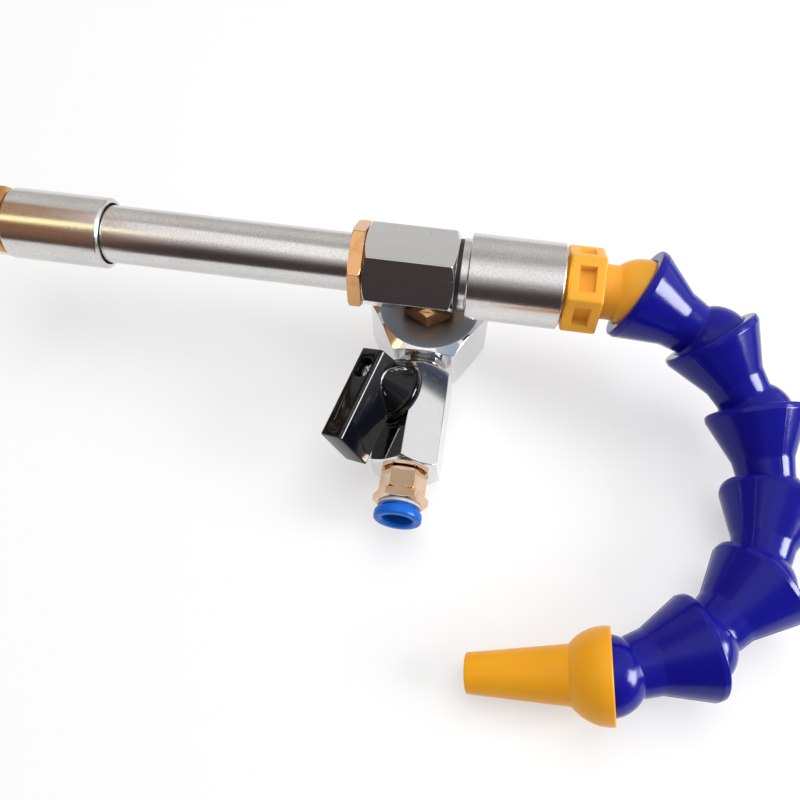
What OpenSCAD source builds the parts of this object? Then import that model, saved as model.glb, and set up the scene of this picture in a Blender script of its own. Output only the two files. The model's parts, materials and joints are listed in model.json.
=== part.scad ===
// Vortex tube cold-air unit: hot tube, chamber body, inlet valve and a ball-and-socket outlet hose.
// All sizes are in millimetres. The tube runs along X, the valve comes out along -Y, Z is up.
// The origin is the middle of the elbow block's underside.

/* [Hot end] */
// Outside diameter of the hot tube
tube_od = 16; // [14:0.5:18]
// Wall of the hot tube
tube_wall = 1.4; // [1:0.1:2]
// Length of hot tube in view between sleeve and nut
tube_run = 69; // [40:1:120]
// Wall of the hot-end sleeve
sleeve_wall = 1.8; // [1.4:0.1:3]
// Length of the hot-end sleeve
sleeve_len = 28.2; // [24:0.2:40]
// Depth of the dark recess round the tube at the sleeve's inner end
recess_depth = 5; // [2:0.5:7]
// Gap round the tube in that recess
recess_gap = 0.5; // [0.3:0.1:0.8]
// Bevel on the sleeve's ends
sleeve_bevel = 0.6; // [0.2:0.1:1]
// Width across flats of the hot plug
plug_af = 18; // [16:0.5:20]
// Length of the hot plug's hexagon
plug_hex_len = 7; // [5:0.5:12]
// Length of the hot plug's screw thread
plug_thread_len = 9; // [6:0.5:12]
// Length of the hot plug's cone
cone_len = 9; // [5:0.5:12]
// Annular gap between the cone's wide end and the tube
cone_gap = 1.5; // [0.8:0.1:3]
// Diameter of the vent through the hot plug
vent_d = 5; // [4:0.2:6]

/* [Chamber body] */
// Width across flats of the chamber body
body_af = 21.4; // [21:0.2:25]
// Length of the chamber body
body_len = 25; // [23:0.5:32]
// Distance from the body's hot end to the inlet
inlet_setback = 17.8; // [16:0.2:18]
// Width across flats of the brass tube nut
nut_af = 21; // [20:0.5:24]
// Length of the tube nut's hexagon
nut_len = 3.6; // [3:0.2:8]
// Length of the tube nut's thread
nut_thread_len = 7; // [4:0.5:9]
// Turn of the tube nut against the body
nut_turn = -5.6; // [-30:0.2:30]
// Wall of the tube nut's thread
nut_thread_wall = 1.2; // [0.8:0.1:1.5]
// Length of the vortex generator
gen_len = 7; // [6:0.5:9]
// Diameter of the spin chamber inside the generator
spin_d = 8.8; // [7:0.2:10]
// Diameter of the cold orifice
orifice_d = 5.4; // [3:0.2:6]
// Number of tangential slots in the generator
slot_count = 6; // [4:1:8]
// Width of a tangential slot
slot_w = 1.1; // [0.8:0.1:1.6]
// Distance of a slot inside the spin chamber's wall
slot_in = 0.2; // [0.1:0.1:0.5]

/* [Cold end] */
// Outside diameter of the cold cylinder
cold_od = 23.2; // [22:0.2:28]
// Length of the cold cylinder
cold_len = 25.1; // [22:0.1:40]
// Diameter of the neck beside the body
neck_od = 20; // [19:0.5:21]
// Length of the neck beside the body
neck_len = 1.9; // [1:0.1:4]
// Thickness of the sealing ring between body and neck
seal_t = 1; // [0.6:0.1:2]
// Width across flats of the hose connector
conn_af = 20.8; // [20:0.2:28]
// Length of the connector's hexagon
conn_hex_len = 9.5; // [8:0.1:16]
// Turn of the connector's hexagon from corner upright
conn_turn = 7.5; // [-30:0.5:30]
// Gap between the cold cylinder and the connector's hexagon
conn_gap = 0.8; // [0.4:0.1:2]
// Diameter of the connector's thread
conn_thread_d = 17; // [15:0.5:18]
// Length of the connector's thread
conn_thread_len = 9; // [6:0.5:10]
// Length of a pocket in the connector's flats
pocket_len = 4.4; // [3:0.2:6]
// Width of a pocket in the connector's flats
pocket_w = 6.8; // [4:0.2:8]
// Depth of a pocket in the connector's flats
pocket_depth = 2.2; // [1:0.2:2.6]
// Distance from the connector's hexagon to the middle of its ball
conn_reach = 10.6; // [9.5:0.1:14]

/* [Hose] */
// Distance between two ball joints
link_pitch = 23.2; // [23:0.2:28]
// Diameter of a bell's rim
bell_od = 26; // [25.4:0.2:28]
// Diameter of a ball
ball_od = 19.4; // [19:0.2:19.8]
// Diameter of a link's waist where its bell ends
waist_od = 15.8; // [15:0.2:17]
// Distance from a link's socket to its waist
waist_z = 11.6; // [10.6:0.2:13]
// Diameter of a link's neck beside its ball
link_neck_od = 14.7; // [14:0.1:14.8]
// Diameter of the air way through a link
link_bore = 11; // [8:0.5:12]
// Clearance between ball and socket
ball_gap = 0.06; // [0.04:0.01:0.1]
// How far the rim stands past the middle of the socket
rim_reach = 1.8; // [1.6:0.1:1.9]
// Bevel inside a rim that lets the next neck lean over
lip_bevel = 0.6; // [0.5:0.1:0.8]
// Rounding of a rim
rim_round = 0.8; // [0.4:0.1:1]
// Length of the nozzle from its joint to its tip
nozzle_len = 33.4; // [28:0.2:50]
// Diameter of the nozzle's cup
cup_od = 23; // [22.6:0.2:26]
// Diameter of the nozzle's spout at its joint
spout_od = 16; // [15:0.2:18]
// Diameter of the nozzle's tip
tip_od = 9.8; // [9:0.2:12]
// Diameter of the nozzle's outlet
tip_bore = 7.2; // [5:0.2:7.4]
// Length of the nozzle's straight outlet
tip_len = 8; // [6:0.5:10]
// Clearance of the hose over the bench
hose_lift = 0.2; // [0.1:0.1:1]

/* [Inlet block] */
// Width across flats of the elbow block
block_af = 30; // [28:0.5:36]
// Height of the elbow block
block_h = 20; // [19.5:0.5:26]
// Width across flats of the brass nipple
nipple_af = 13; // [12:0.5:15]
// Height of the nipple's hexagon
nipple_hex_h = 5.7; // [4:0.1:12]
// Diameter of the nipple's threads
nipple_thread_d = 9.2; // [8:0.2:10]
// Depth of the nipple's thread in the block
nipple_depth = 6; // [4:0.5:7]
// Diameter of the air way through nipple and block
air_d = 6.4; // [5:0.2:7]

/* [Ball valve] */
// Width across flats of the valve body
valve_af = 18; // [17:0.2:20]
// Length of the valve body's hexagon
valve_len = 30.5; // [29:0.5:40]
// Length of the neck between block and valve
valve_neck = 3.6; // [2:0.2:8]
// Diameter of the valve's thread in the block
valve_thread_d = 11.2; // [10:0.2:12]
// Depth of the valve's thread in the block
valve_depth = 7; // [5:0.5:8]
// Clearance of the valve over the bench
valve_lift = 0.35; // [0.3:0.05:2]
// Turn of the valve's hexagon from edge upright
valve_turn = 6.3; // [0:0.1:15]
// Diameter of the valve's ball
vball_d = 12; // [11:0.2:12.4]
// Diameter of the valve's stem
stem_d = 5; // [4:0.2:6]
// Thickness of a ball seat
seat_t = 2.4; // [2:0.1:3]
// Turn of the lever from fully open
lever_turn = 20; // [0:1:90]

/* [Lever] */
// Radius of the lever's hub flange
hub_r = 9.2; // [8:0.1:10]
// Thickness of the hub flange
hub_t = 2.6; // [2:0.1:4]
// Height of the cone between flange and grip
hub_cone_h = 8.2; // [4:0.1:9]
// Gap between the hub and the valve body
hub_gap = 0.5; // [0.3:0.1:1]
// Width of the grip
grip_w = 8.1; // [6:0.1:10]
// Height of the grip
grip_h = 12.4; // [11:0.1:16]
// Reach of the grip from the stem
grip_reach = 20.5; // [15:0.5:30]
// Length of the grip behind the stem
grip_back = 5.7; // [5:0.1:9]
// Slant of the grip's outer end
grip_slant = 1.9; // [0:0.1:4]
// Bevel along the grip's upper edges
grip_bevel = 0.6; // [0.2:0.1:1]
// Diameter of the screw's recess
recess_d = 5.8; // [5.4:0.1:6]
// Depth of the screw's recess
screw_recess = 3.6; // [2.5:0.1:4]
// Diameter of the screw's head
screw_head_d = 5; // [4:0.1:5.2]

/* [Push-in fitting] */
// Diameter of the air line that pushes in
line_d = 8; // [6:0.5:8.5]
// Width across flats of the fitting's inner hexagon
fit_af = 11; // [10.6:0.1:12]
// Length of the fitting's inner hexagon
fit_len = 6.4; // [5:0.1:12]
// Width across flats of the fitting's outer hexagon
fit_cap_af = 13; // [12.8:0.1:15]
// Length of the fitting's outer hexagon
fit_cap_len = 3; // [2.8:0.1:6]
// Thickness of the pale guide ring
guide_t = 0.7; // [0.5:0.1:2]
// Diameter of the release collar
collar_od = 12.9; // [12:0.1:14]
// Thickness of the release collar
collar_t = 2.6; // [2:0.1:5]
// Travel of the release collar
collar_travel = 0.9; // [0.5:0.1:1.5]

/* [Hidden] */
$fn = 48;
// Clearances: threads and seats that stay put, and parts that turn or slide
fit_gap = 0.03;
run_gap = 0.06;
// Overcut that keeps cutting faces apart, and overlap that joins two shapes of one piece
over = 1;
seam = 0.01;
// Share of the ball's radius where a link's neck starts, and the cup's middle behind the joint
neck_start = 0.75;
cup_shift = 0.6;
// Hexagons: share of the flats left on a turned end face, slope of the turned bevel, small edge bevel
hex_face = 0.96;
hex_bevel = 30;
edge_bevel = 0.3;
conn_face = 0.98;
conn_slope = 45;
block_face = 0.95;
nut_face = 1.08;
// Steps: under a thread, past a thread's end, thinnest web, and between two bores of an air way
thread_step = 1;
plug_run_out = 1.5;
web = 0.6;
bore_step = 0.5;
// Room left round and behind pieces that don't touch
room = 0.4;
// Radii that follow from the diameters
tube_r = tube_od / 2;
tube_bore_r = tube_r - tube_wall;
sleeve_r = tube_r + sleeve_wall;
plug_thread_r = tube_r - thread_step;
cone_r = tube_bore_r - cone_gap;
cone_tip_r = 1.2;
plug_neck_r = cone_r - thread_step;
plug_neck_len = 4;
plug_end_gap = 0.4;
plug_bore_len = plug_thread_len + plug_run_out;
nut_thread_r = tube_r + nut_thread_wall;
ball_r = ball_od / 2;
socket_r = ball_r + ball_gap;
bell_r = bell_od / 2;
link_neck_r = link_neck_od / 2;
line_r = line_d / 2;
line_slip = 0.05;
// Vortex generator: thickness of its flanges, wall round its spin chamber
flange_t = 1.3;
slot_wall = 1.7;
// Stations along the tube
body_x0 = -inlet_setback;
body_x1 = body_x0 + body_len;
nut_x0 = body_x0 - nut_len;
sleeve_x1 = nut_x0 - tube_run;
sleeve_x0 = sleeve_x1 - sleeve_len;
plug_x0 = sleeve_x0 - plug_end_gap - plug_hex_len;
tube_x0 = sleeve_x0 + plug_bore_len;
gen_x0 = -gen_len / 2 - bore_step;
gen_x1 = gen_x0 + gen_len;
neck_x0 = body_x1 + seal_t;
cold_x0 = neck_x0 + neck_len;
cold_x1 = cold_x0 + cold_len;
conn_x0 = cold_x1 + conn_gap;
conn_x1 = conn_x0 + conn_hex_len;
ball_x = conn_x1 + conn_reach;
// Heights
body_z0 = block_h + nipple_hex_h;
axis_z = body_z0 + body_af / 2;
valve_corner = valve_af / sqrt(3);
valve_z = max(block_h / 2, valve_corner * cos(valve_turn) + valve_lift);
// Stations along the valve, measured from the block's front face
front_y = -block_af / 2;
hex_z0 = valve_neck;
hex_z1 = hex_z0 + valve_len;
vball_r = vball_d / 2;
seat_gap = 0.1;
neck_step = 2;
cavity_r = vball_r + room;
stem_setback = 10.2;
stem_z = hex_z0 + stem_setback;
seat_reach = vball_r - room;
seat_z0 = stem_z - seat_reach;
seat_z1 = stem_z + seat_reach;
stem_r = stem_d / 2;
facet_t = valve_af / 2;
gland_w = 0.9;
gland_r = stem_r + gland_w;
gland_t = 1.2;
gland_t0 = facet_t - gland_t - edge_bevel;
tang_w = stem_d / 2;
tang_depth = 2;
tang_gap = 0.15;
hub_t0 = facet_t + hub_gap;
grip_lift = 2;
grip_t0 = hub_t0 + grip_lift;
grip_t1 = grip_t0 + grip_h;
screw_t = grip_t1 - screw_recess;
hub_step = 0.5;
// Small round mark near the grip's tip
mark_r = 1.3;
mark_setback = 3;
mark_depth = 0.3;
// Screw in the lever and its cross slot
screw_head_h = 1.7;
screw_dome = 0.5;
screw_floor = 1.4;
stem_top = screw_t - screw_floor;
screw_r = 1.2;
screw_len = 5;
cross_w = 0.7;
cross_depth = 0.9;
// Direction of the stem: the normal of the valve's upper left flat, as a tilt from upright
stem_tilt = 30 + valve_turn;
// Stations along the push-in fitting
cap_z0 = hex_z1 + fit_len;
cap_z1 = cap_z0 + fit_cap_len;
guide_z1 = cap_z1 + guide_t;
stop_gap = 0.3;
collar_z0 = guide_z1 + collar_travel + stop_gap;
collar_r = collar_od / 2;
collar_round = 0.8;
cup_wall = 0.55;
collet_r = line_r + line_slip + cup_wall;
pocket_r = collet_r + bore_step;
fit_thread_step = 1.4;
fit_thread_d = fit_af - fit_thread_step;
fit_thread_len = 7;
line_stop_len = 5;
socket_z0 = cap_z0 - line_stop_len;
guide_depth = 0.6;
guide_inset = 0.7;
seal_len = 1.1;
ring_dip = 0.2;
ring_t = 0.35;
ring_z = cap_z0 + seal_len + ring_dip;
// Hose route: heading of each link and of the nozzle from +X towards -Y, and each link's share of the drop
heading = [19.8, 48.2, 76.7, 102.3, 130.4, 155.4, 174.9];
drop_share = [0.28, 0.42, 0.3, 0, 0, 0];
link_count = 6;
hose_z = max(bell_od, cup_od) / 2 + hose_lift;
hose_drop = axis_z - hose_z;
// The nozzle dips until its tip is just over the bench
tip_lift = 0.9;
nozzle_dip = asin((hose_z - tip_od / 2 - tip_lift) / nozzle_len);
function slope(i) = i < link_count ? asin(hose_drop * drop_share[i] / link_pitch) : nozzle_dip;
function link_dir(i) = [cos(slope(i)) * cos(heading[i]), -cos(slope(i)) * sin(heading[i]), -sin(slope(i))];
function link_pos(i) = i == 0 ? [ball_x, 0, axis_z] : link_pos(i - 1) + link_pitch * link_dir(i - 1);

// Places: along the tube, out of the block's front, up the valve's stem, along a hose link
module on_tube(x) {
    translate([x, 0, axis_z]) rotate([0, 90, 0]) children();
}

module on_valve(z) {
    translate([0, front_y - z, valve_z]) rotate([90, 0, 0]) children();
}

module on_stem() {
    translate([0, front_y - stem_z, valve_z]) rotate([0, -stem_tilt, 0]) children();
}

module on_lever() {
    on_stem() rotate([0, 0, -90 - lever_turn]) children();
}

module on_link(i) {
    translate(link_pos(i)) rotate([0, 90 + slope(i), -heading[i]]) children();
}

// A hexagon bar with turned bevels on both ends
module hex_bar(af, len, face = hex_face, bevel = hex_bevel) {
    corner = af / sqrt(3);
    face_r = face * af / 2;
    blank_r = corner + over;
    rise = (blank_r - face_r) * tan(bevel);
    intersection() {
        cylinder(h = len, r = corner, $fn = 6);
        rotate_extrude()
            polygon([[0, 0], [face_r, 0], [blank_r, rise], [blank_r, len - rise], [face_r, len], [0, len]]);
    }
}

// A plain ring
module ring(r_out, r_in, len) {
    difference() {
        cylinder(h = len, r = r_out);
        translate([0, 0, -over]) cylinder(h = len + 2 * over, r = r_in);
    }
}

// A turned cylinder with bevelled ends
module bevel_bar(r, len, bevel) {
    rotate_extrude()
        polygon([[0, 0], [r - bevel, 0], [r, bevel], [r, len - bevel], [r - bevel, len], [0, len]]);
}

// Hot end
module hot_plug() {
    neck_z = plug_hex_len + plug_end_gap + plug_thread_len;
    cone_z = neck_z + plug_neck_len;
    cross_r = plug_neck_len / 2 - web;
    color([0.80, 0.62, 0.36]) on_tube(plug_x0) difference() {
        union() {
            rotate([0, 0, 30]) hex_bar(plug_af, plug_hex_len);
            translate([0, 0, plug_hex_len - over])
                cylinder(h = plug_end_gap + plug_thread_len + over, r = plug_thread_r);
            translate([0, 0, neck_z - over]) cylinder(h = plug_neck_len + over, r = plug_neck_r);
            translate([0, 0, cone_z]) cylinder(h = cone_len, r1 = cone_r, r2 = cone_tip_r);
        }
        translate([0, 0, -over]) cylinder(h = cone_z - web + over, r = vent_d / 2);
        for (turn = [0, 90])
            translate([0, 0, neck_z + plug_neck_len / 2]) rotate([90, 0, turn])
                cylinder(h = 2 * tube_r, r = cross_r, center = true);
    }
}

module hot_sleeve() {
    seat_r = tube_r + fit_gap;
    color([0.72, 0.70, 0.68]) on_tube(sleeve_x0) difference() {
        bevel_bar(sleeve_r, sleeve_len, sleeve_bevel);
        translate([0, 0, -over]) cylinder(h = sleeve_len, r = plug_thread_r + run_gap);
        translate([0, 0, plug_bore_len]) cylinder(h = sleeve_len, r = seat_r);
        translate([0, 0, sleeve_len - recess_depth]) cylinder(h = sleeve_len, r = tube_r + recess_gap);
    }
}

module hot_tube() {
    color([0.70, 0.69, 0.68]) on_tube(tube_x0) ring(tube_r, tube_bore_r, gen_x0 - tube_x0);
}

// Chamber body and what screws into it
module tube_nut() {
    color([0.80, 0.62, 0.36]) on_tube(nut_x0) difference() {
        union() {
            rotate([0, 0, nut_turn]) hex_bar(nut_af, nut_len, nut_face);
            translate([0, 0, nut_len - over]) cylinder(h = nut_thread_len + over, r = nut_thread_r);
        }
        translate([0, 0, -over]) cylinder(h = nut_len + nut_thread_len + 2 * over, r = tube_r + fit_gap);
    }
}

module chamber_body() {
    bore_r = tube_r + fit_gap;
    color([0.78, 0.79, 0.80]) difference() {
        on_tube(body_x0) difference() {
            rotate([0, 0, 30]) hex_bar(body_af, body_len);
            translate([0, 0, -over]) cylinder(h = body_len + 2 * over, r = bore_r);
            translate([0, 0, -over])
                cylinder(h = nut_thread_len + fit_gap + over, r = nut_thread_r + fit_gap);
        }
        translate([0, 0, body_z0 - over]) cylinder(h = over + body_af / 2, r = nipple_thread_d / 2 + fit_gap);
    }
}

module vortex_generator() {
    spin_r = spin_d / 2;
    web_r = spin_r + slot_wall;
    slot_z = flange_t + room;
    color([0.83, 0.66, 0.38]) on_tube(gen_x0) difference() {
        union() {
            cylinder(h = flange_t, r = tube_r);
            cylinder(h = gen_len, r = web_r);
            translate([0, 0, gen_len - flange_t]) cylinder(h = flange_t, r = tube_r);
        }
        translate([0, 0, -over]) cylinder(h = gen_len - flange_t + over, r = spin_r);
        translate([0, 0, -over]) cylinder(h = gen_len + 2 * over, r = orifice_d / 2);
        for (i = [0 : slot_count - 1])
            rotate([0, 0, i * 360 / slot_count]) translate([0, spin_r - slot_w - slot_in, slot_z])
                cube([web_r + over, slot_w, gen_len - 2 * slot_z]);
    }
}

module joint_seal() {
    color([0.05, 0.05, 0.05]) on_tube(body_x1) ring(neck_od / 2 - room, tube_r + fit_gap, seal_t);
}

// Cold end
module cold_sleeve() {
    spigot_len = neck_x0 - gen_x1;
    cold_z = cold_x0 - gen_x1;
    end_z = cold_x1 - gen_x1;
    throat_r = orifice_d / 2 + bore_step;
    wide_r = link_bore / 2 + bore_step;
    seat_z = end_z - conn_thread_len - bore_step;
    color([0.72, 0.70, 0.68]) on_tube(gen_x1) difference() {
        union() {
            cylinder(h = spigot_len + over, r = tube_r);
            translate([0, 0, spigot_len]) cylinder(h = neck_len + over, r = neck_od / 2);
            translate([0, 0, cold_z]) bevel_bar(cold_od / 2, cold_len, edge_bevel);
        }
        translate([0, 0, -over]) cylinder(h = cold_z + over, r = throat_r);
        translate([0, 0, cold_z - over]) cylinder(h = seat_z - cold_z + over, r1 = throat_r, r2 = wide_r);
        translate([0, 0, seat_z]) cylinder(h = cold_len, r = conn_thread_d / 2 + fit_gap);
    }
}

module hose_connector() {
    hex_z = conn_thread_len + conn_gap;
    pocket_z = hex_z + (conn_hex_len - pocket_len) / 2;
    neck_z = hex_z + conn_hex_len;
    ball_z = neck_z + conn_reach;
    color([0.96, 0.62, 0.10]) on_tube(cold_x1 - conn_thread_len) difference() {
        union() {
            cylinder(h = hex_z + over, r = conn_thread_d / 2);
            translate([0, 0, hex_z]) rotate([0, 0, -conn_turn])
                hex_bar(conn_af, conn_hex_len, conn_face, conn_slope);
            translate([0, 0, neck_z - over]) cylinder(h = conn_reach + over, r = link_neck_r);
            translate([0, 0, ball_z]) ball_end();
        }
        translate([0, 0, -over]) cylinder(h = ball_z + ball_od, r = link_bore / 2);
        for (i = [0 : 5])
            rotate([0, 0, 30 + 60 * i - conn_turn])
                translate([conn_af / 2 - pocket_depth, -pocket_w / 2, pocket_z])
                    cube([pocket_depth + over, pocket_w, pocket_len]);
    }
}

// Ball-and-socket hose: each link is a bell with a socket, a waist and a ball
module ball_end() {
    mouth = sqrt(pow(ball_r, 2) - pow(link_bore / 2 + web, 2));
    intersection() {
        sphere(r = ball_r);
        translate([0, 0, -ball_od]) cylinder(h = ball_od + mouth, r = ball_od);
    }
}

module socket_cut() {
    lip_z = rim_reach - lip_bevel;
    lip_r = sqrt(pow(socket_r, 2) - pow(lip_z, 2));
    sphere(r = socket_r);
    translate([0, 0, -rim_reach - over])
        cylinder(h = lip_bevel + 2 * over, r1 = lip_r + lip_bevel + over, r2 = lip_r - over);
}

// Rim of a bell or cup: flat face, rounded edge, straight back to the middle of the socket
module rim_profile(r) {
    translate([0, rim_round - rim_reach]) square([r, rim_reach - rim_round]);
    translate([0, -rim_reach]) square([r - rim_round, rim_reach]);
    translate([r - rim_round, rim_round - rim_reach]) circle(r = rim_round);
}

// Bell, waist and neck of a link: a straight cone down to the waist, then a slight taper to the neck
module bell() {
    neck_z = link_pitch - ball_r * neck_start;
    rotate_extrude() {
        rim_profile(bell_r);
        polygon([[0, -seam], [bell_r, -seam], [bell_r, 0], [waist_od / 2, waist_z], [link_neck_r, neck_z],
                 [link_neck_r, link_pitch], [0, link_pitch]]);
    }
}

module hose_link(i) {
    color([0.06, 0.06, 0.42]) on_link(i) difference() {
        union() {
            bell();
            translate([0, 0, link_pitch]) ball_end();
        }
        socket_cut();
        cylinder(h = link_pitch + ball_od, r = link_bore / 2);
    }
}

module nozzle() {
    cup_r = cup_od / 2;
    color([0.97, 0.66, 0.08]) on_link(link_count) difference() {
        union() {
            rotate_extrude() rim_profile(cup_r);
            intersection() {
                translate([0, 0, -cup_shift]) sphere(r = cup_r);
                translate([0, 0, -cup_shift - seam]) cylinder(h = cup_od, r = cup_od);
            }
            cylinder(h = nozzle_len, r1 = spout_od / 2, r2 = tip_od / 2);
        }
        socket_cut();
        rotate_extrude()
            polygon([[0, 0], [link_bore / 2, 0], [tip_bore / 2, nozzle_len - tip_len],
                     [tip_bore / 2, nozzle_len + over], [0, nozzle_len + over]]);
    }
}

// Inlet block
module inlet_nipple() {
    thread_r = nipple_thread_d / 2;
    top = axis_z - tube_r - room;
    color([0.78, 0.58, 0.32]) difference() {
        union() {
            translate([0, 0, block_h]) rotate([0, 0, 30]) hex_bar(nipple_af, nipple_hex_h);
            translate([0, 0, block_h - nipple_depth]) cylinder(h = nipple_depth + over, r = thread_r);
            translate([0, 0, body_z0 - over]) cylinder(h = top - body_z0 + over, r = thread_r);
        }
        translate([0, 0, block_h - nipple_depth - over]) cylinder(h = axis_z, r = air_d / 2);
    }
}

module elbow_block() {
    color([0.74, 0.75, 0.77]) difference() {
        hex_bar(block_af, block_h, block_face);
        translate([0, 0, block_h - nipple_depth]) cylinder(h = block_h, r = nipple_thread_d / 2 + fit_gap);
        translate([0, 0, valve_z]) cylinder(h = block_h, r = air_d / 2);
        on_valve(front_y) cylinder(h = -front_y + over, r = air_d / 2);
        on_valve(-valve_depth) cylinder(h = valve_depth + over, r = valve_thread_d / 2 + fit_gap);
    }
}

// Ball valve
module valve_body() {
    color([0.76, 0.77, 0.79]) difference() {
        union() {
            on_valve(-valve_depth) cylinder(h = valve_depth + over, r = valve_thread_d / 2);
            on_valve(0) cylinder(h = valve_neck + over, r = valve_af / 2 - neck_step);
            on_valve(hex_z0) rotate([0, 0, stem_tilt]) hex_bar(valve_af, valve_len, block_face);
        }
        on_valve(-valve_depth - over) cylinder(h = valve_depth + stem_z, r = air_d / 2);
        on_valve(seat_z0) cylinder(h = valve_len, r = cavity_r);
        on_stem() cylinder(h = valve_af, r = stem_r + run_gap);
        on_stem() translate([0, 0, gland_t0]) cylinder(h = gland_t, r = gland_r);
    }
}

module valve_insert() {
    len = hex_z1 - seat_z1 - room;
    color([0.80, 0.62, 0.36]) on_valve(seat_z1) difference() {
        cylinder(h = len, r = cavity_r - fit_gap);
        translate([0, 0, -over]) cylinder(h = len + 2 * over, r = air_d / 2);
        translate([0, 0, len - fit_thread_len]) cylinder(h = len, r = fit_thread_d / 2 + fit_gap);
    }
}

module ball_seat() {
    difference() {
        cylinder(h = seat_t, r = cavity_r - fit_gap);
        translate([0, 0, -over]) cylinder(h = seat_t + 2 * over, r = air_d / 2);
        translate([0, 0, seat_reach]) sphere(r = vball_r + seat_gap);
    }
}

module seat_in() {
    color([0.93, 0.93, 0.90]) on_valve(seat_z0) ball_seat();
}

module seat_out() {
    color([0.93, 0.93, 0.90]) on_valve(seat_z1) rotate([180, 0, 0]) ball_seat();
}

module valve_ball() {
    color([0.82, 0.83, 0.84]) on_lever() difference() {
        sphere(r = vball_r);
        rotate([0, 90, 0]) cylinder(h = vball_d + over, r = air_d / 2 - room, center = true);
        translate([-vball_d, -tang_w / 2 - fit_gap, vball_r - tang_depth])
            cube([2 * vball_d, tang_w + 2 * fit_gap, vball_r]);
    }
}

module valve_stem() {
    shoulder = vball_r + tang_gap;
    color([0.80, 0.64, 0.38]) on_lever() difference() {
        union() {
            translate([0, 0, shoulder]) cylinder(h = stem_top - shoulder, r = stem_r);
            intersection() {
                translate([-stem_r, -tang_w / 2, vball_r - tang_depth])
                    cube([stem_d, tang_w, tang_depth + over]);
                cylinder(h = valve_af, r = stem_r);
            }
        }
        translate([0, 0, screw_t - screw_len]) cylinder(h = screw_len, r = screw_r + fit_gap);
    }
}

module stem_seal() {
    section_r = (gland_r - stem_r - 2 * fit_gap) / 2;
    color([0.06, 0.06, 0.06]) on_stem() translate([0, 0, gland_t0 + gland_t / 2])
        rotate_extrude() translate([stem_r + fit_gap + section_r, 0]) circle(r = section_r);
}

// Lever
module grip() {
    side = [[-grip_back, grip_t0], [grip_reach + grip_slant, grip_t0],
            [grip_reach, grip_t1], [-grip_back, grip_t1]];
    half = grip_w / 2;
    section = [[-half, grip_t0], [half, grip_t0], [half, grip_t1 - grip_bevel], [half - grip_bevel, grip_t1],
               [grip_bevel - half, grip_t1], [-half, grip_t1 - grip_bevel]];
    intersection() {
        rotate([90, 0, 0]) linear_extrude(height = 2 * grip_w, center = true) polygon(side);
        rotate([90, 0, 90]) linear_extrude(height = 3 * grip_reach, center = true) polygon(section);
    }
}

module handle() {
    cone_z = hub_t0 + hub_t - seam;
    color([0.03, 0.03, 0.035]) on_lever() difference() {
        union() {
            translate([0, 0, hub_t0]) bevel_bar(hub_r, hub_t, edge_bevel);
            translate([0, 0, cone_z]) cylinder(h = hub_cone_h, r1 = hub_r - hub_step, r2 = grip_w / 2 - room);
            grip();
        }
        cylinder(h = stem_top, r = stem_r + fit_gap);
        cylinder(h = grip_t1, r = screw_r + fit_gap);
        translate([0, 0, screw_t]) cylinder(h = screw_recess + over, r = recess_d / 2);
        translate([grip_reach - mark_setback, 0, grip_t1 - mark_depth]) cylinder(h = over, r = mark_r);
    }
}

module handle_screw() {
    head_r = screw_head_d / 2;
    dome_z = screw_head_h - screw_dome;
    cross_r = head_r - 2 * screw_dome;
    color([0.75, 0.72, 0.68]) on_lever() translate([0, 0, screw_t]) difference() {
        union() {
            cylinder(h = dome_z, r = head_r);
            translate([0, 0, dome_z - seam])
                cylinder(h = screw_dome + seam, r1 = head_r, r2 = cross_r + screw_dome);
            translate([0, 0, seam - screw_len]) cylinder(h = screw_len, r = screw_r);
        }
        for (turn = [45, 135])
            rotate([0, 0, turn]) translate([-cross_r, -cross_w / 2, screw_head_h - cross_depth])
                cube([2 * cross_r, cross_w, over]);
    }
}

// Push-in fitting
module push_in_body() {
    thread_r = fit_thread_d / 2;
    color([0.82, 0.64, 0.38]) difference() {
        union() {
            on_valve(hex_z1 - fit_thread_len) cylinder(h = fit_thread_len + over, r = thread_r);
            on_valve(hex_z1) hex_bar(fit_af, fit_len);
            on_valve(cap_z0) hex_bar(fit_cap_af, fit_cap_len);
        }
        on_valve(hex_z1 - fit_thread_len - over) cylinder(h = cap_z1, r = air_d / 2);
        on_valve(socket_z0) cylinder(h = cap_z1, r = line_r + line_slip);
        on_valve(cap_z0) cylinder(h = cap_z1, r = pocket_r);
    }
}

module tube_seal() {
    color([0.07, 0.07, 0.07]) on_valve(cap_z0) ring(pocket_r - fit_gap, line_r + line_slip, seal_len);
}

module grip_ring() {
    out_r = pocket_r - fit_gap;
    in_r = line_r + line_slip;
    color([0.75, 0.75, 0.76]) on_valve(ring_z) rotate_extrude()
        polygon([[out_r, 0], [out_r, ring_t], [in_r, ring_t - ring_dip], [in_r, -ring_dip]]);
}

module guide_ring() {
    flange_r = fit_cap_af / 2 - guide_inset;
    color([0.80, 0.81, 0.82]) difference() {
        union() {
            on_valve(cap_z1) cylinder(h = guide_t, r = flange_r);
            on_valve(cap_z1 - guide_depth) cylinder(h = guide_depth + seam, r = pocket_r - fit_gap);
        }
        on_valve(cap_z0) cylinder(h = cap_z1, r = collet_r + run_gap);
    }
}

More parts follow.
